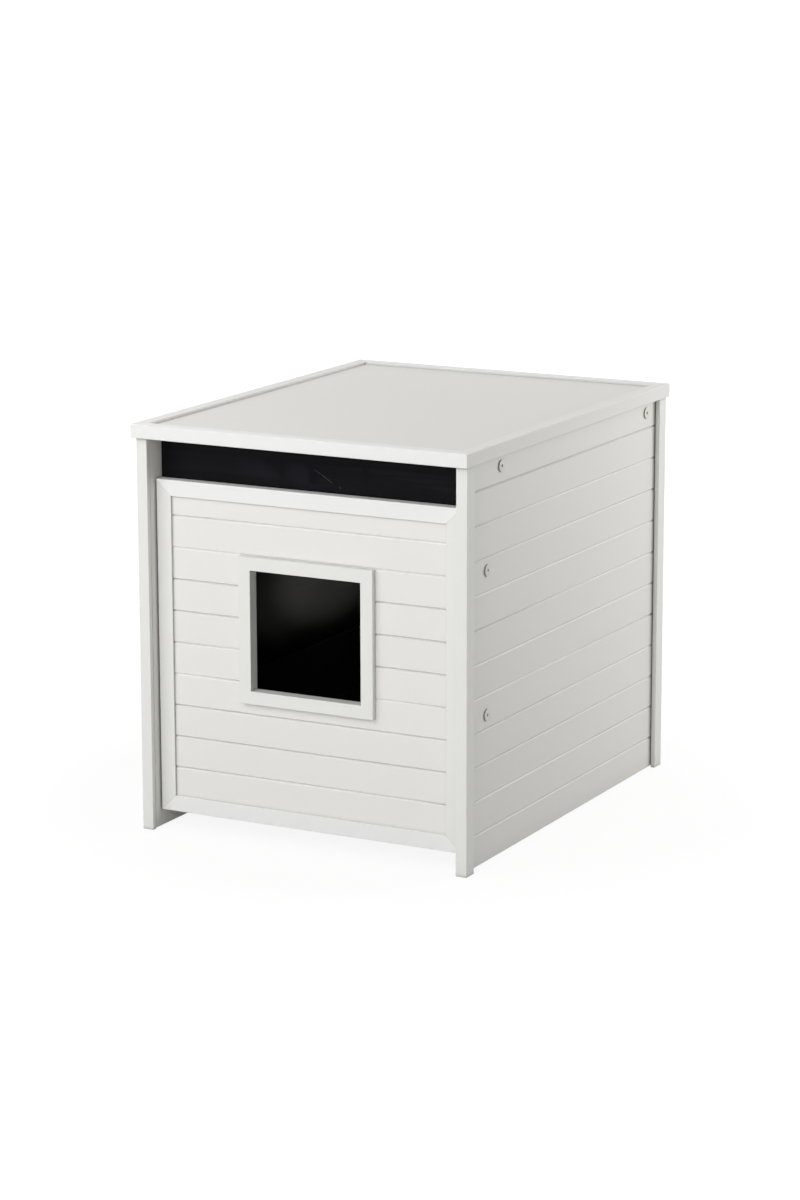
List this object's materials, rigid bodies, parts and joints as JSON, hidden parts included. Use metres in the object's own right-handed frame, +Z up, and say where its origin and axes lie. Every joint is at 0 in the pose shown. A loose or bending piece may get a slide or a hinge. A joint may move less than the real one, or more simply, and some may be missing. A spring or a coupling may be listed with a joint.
{
  "type": "cat litter box cabinet",
  "caption": "White boarded end-table cabinet that hides a litter tray: recessed top, side-hung framed front door with a square cat opening, black interior.",
  "frame": {"origin": "on the floor, under the middle of the top", "axes": "+Z up, -Y towards the door (front), +X towards the hinge side"},
  "size_m": [0.5, 0.64, 0.56],
  "materials": {
    "white_board": "satin white wood-plastic board, faint grain",
    "white_frame": "satin white moulded frame",
    "top_surface": "satin white panel, smooth",
    "black_panel": "satin black sheet",
    "tray_plastic": "black moulded tray",
    "zinc_steel": "zinc-plated steel",
    "painted_head": "white painted bolt head",
    "magnet": "dark magnet catch"
  },
  "bodies": {
    "cabinet": {"top_rail_front": "white_frame", "top_rail_right": "white_frame", "top_rail_back": "white_frame", "top_rail_left": "white_frame", "top_panel": "top_surface", "front_post_left": "white_frame", "front_post_right": "white_frame", "rear_post_left": "white_frame", "rear_post_right": "white_frame", "back_stile_left": "white_frame", "back_stile_right": "white_frame", "right_wall_boards": "white_board", "left_wall_boards": "white_board", "back_wall_boards": "white_board", "wall_liner_right": "black_panel", "wall_liner_left": "black_panel", "wall_liner_back": "black_panel", "floor_panel": "black_panel", "floor_cleats": "black_panel", "front_crossboard": "black_panel", "top_batten_right": "black_panel", "top_batten_left": "black_panel", "corner_batten_right": "black_panel", "corner_batten_left": "black_panel", "litter_tray": "tray_plastic", "hinge_fixed_leaf_lower": "zinc_steel", "hinge_pins": "zinc_steel", "hinge_fixed_leaf_upper": "zinc_steel", "magnet_catch": "magnet", "wall_bolts": "painted_head", "hinge_bolts": "painted_head", "hinge_bolt_nuts": "zinc_steel"},
    "door": {"door_rail_bottom": "white_frame", "door_stile_right": "white_frame", "door_rail_top": "white_frame", "door_stile_left": "white_frame", "door_boards": "white_board", "cat_opening_trim": "white_frame", "trim_back_ring": "black_panel", "hinge_moving_leaf_lower": "zinc_steel", "hinge_moving_leaf_upper": "zinc_steel", "strike_plate": "zinc_steel"}
  },
  "joints": [
    {"name": "door_hinge", "type": "hinge", "parent": "cabinet", "child": "door", "pos_m": [0.2274, -0.2954, 0], "axis": [0, 0, 1], "range_deg": [0, 105]}
  ]
}
